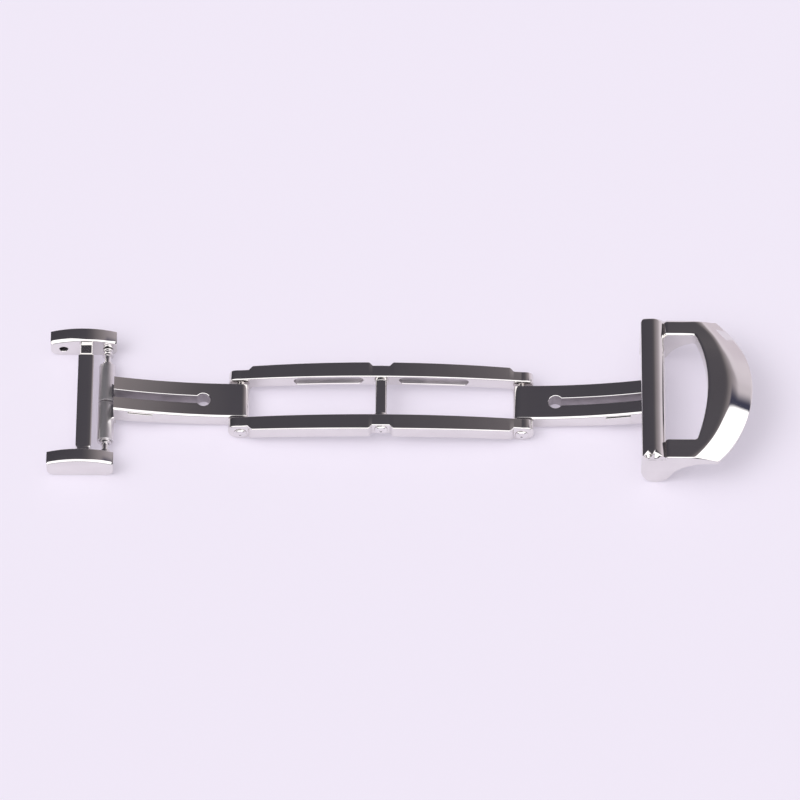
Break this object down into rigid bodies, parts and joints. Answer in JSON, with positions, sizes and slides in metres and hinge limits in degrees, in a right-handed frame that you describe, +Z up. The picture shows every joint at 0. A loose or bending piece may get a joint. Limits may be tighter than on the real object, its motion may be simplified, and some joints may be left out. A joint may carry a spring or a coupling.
{
  "type": "deployant clasp",
  "caption": "Polished steel double-fold deployant clasp, lying open: slotted link with folding blades, strap bracket and domed loop buckle.",
  "frame": {"origin": "on the ground, under the middle of the open clasp's bounding box", "axes": "+X along the strap from the strap bracket towards the buckle, +Y across the strap, +Z up, away from the wrist"},
  "size_m": [0.0822, 0.0186, 0.0075],
  "materials": {
    "polished_steel": "mirror-polished stainless steel",
    "pin_steel": "polished stainless steel, riveted heads",
    "bar_steel": "turned stainless steel",
    "spring_wire": "drawn spring wire"
  },
  "bodies": {
    "link": {"rail_front": "polished_steel", "rail_back": "polished_steel", "cross_bar": "polished_steel", "middle_pin": "pin_steel", "left_hinge_pin": "pin_steel", "right_hinge_pin": "pin_steel"},
    "left_blade": {"left_blade": "polished_steel"},
    "bracket": {"cheek_front": "polished_steel", "cheek_back": "polished_steel", "bracket_stay": "polished_steel", "left_bar_tube": "bar_steel", "left_bar_spring": "spring_wire"},
    "left_tip_front": {"left_bar_tip_front": "bar_steel"},
    "left_tip_back": {"left_bar_tip_back": "bar_steel"},
    "right_blade": {"right_blade": "polished_steel"},
    "buckle": {"buckle_frame": "polished_steel", "right_bar_tube": "bar_steel", "right_bar_spring": "spring_wire"},
    "right_tip_front": {"right_bar_tip_front": "bar_steel"},
    "right_tip_back": {"right_bar_tip_back": "bar_steel"}
  },
  "joints": [
    {"name": "left_fold", "type": "hinge", "parent": "link", "child": "left_blade", "pos_m": [-0.0187, 0, 0.0013], "axis": [0, 1, 0], "range_deg": [0, 166]},
    {"name": "right_fold", "type": "hinge", "parent": "link", "child": "right_blade", "pos_m": [0.0141, 0, 0.0013], "axis": [0, -1, 0], "range_deg": [0, 165.6]},
    {"name": "bracket_pivot", "type": "hinge", "parent": "left_blade", "child": "bracket", "pos_m": [-0.0344, 0, 0.0012], "axis": [0, 1, 0], "range_deg": [-166, 0]},
    {"name": "buckle_pivot", "type": "hinge", "parent": "right_blade", "child": "buckle", "pos_m": [0.0294, 0, 0.0012], "axis": [0, -1, 0], "range_deg": [-165.6, 0]},
    {"name": "left_tip_front_press", "type": "slide", "parent": "bracket", "child": "left_tip_front", "axis": [0, 1, 0], "range_m": [0, 0.0009], "stiffness_N_per_m": 200, "springref_m": -0.0005, "deforming": ["left_bar_spring"]},
    {"name": "left_tip_back_press", "type": "slide", "parent": "bracket", "child": "left_tip_back", "axis": [0, -1, 0], "range_m": [0, 0.0009], "stiffness_N_per_m": 200, "springref_m": -0.0005, "deforming": ["left_bar_spring"]},
    {"name": "right_tip_front_press", "type": "slide", "parent": "buckle", "child": "right_tip_front", "axis": [0, 1, 0], "range_m": [0, 0.0009], "stiffness_N_per_m": 200, "springref_m": -0.0005, "deforming": ["right_bar_spring"]},
    {"name": "right_tip_back_press", "type": "slide", "parent": "buckle", "child": "right_tip_back", "axis": [0, -1, 0], "range_m": [0, 0.0009], "stiffness_N_per_m": 200, "springref_m": -0.0005, "deforming": ["right_bar_spring"]}
  ],
  "couplings": [
    {"joint": "bracket_pivot", "follows": "left_fold", "ratio": -1},
    {"joint": "buckle_pivot", "follows": "right_fold", "ratio": -1}
  ]
}
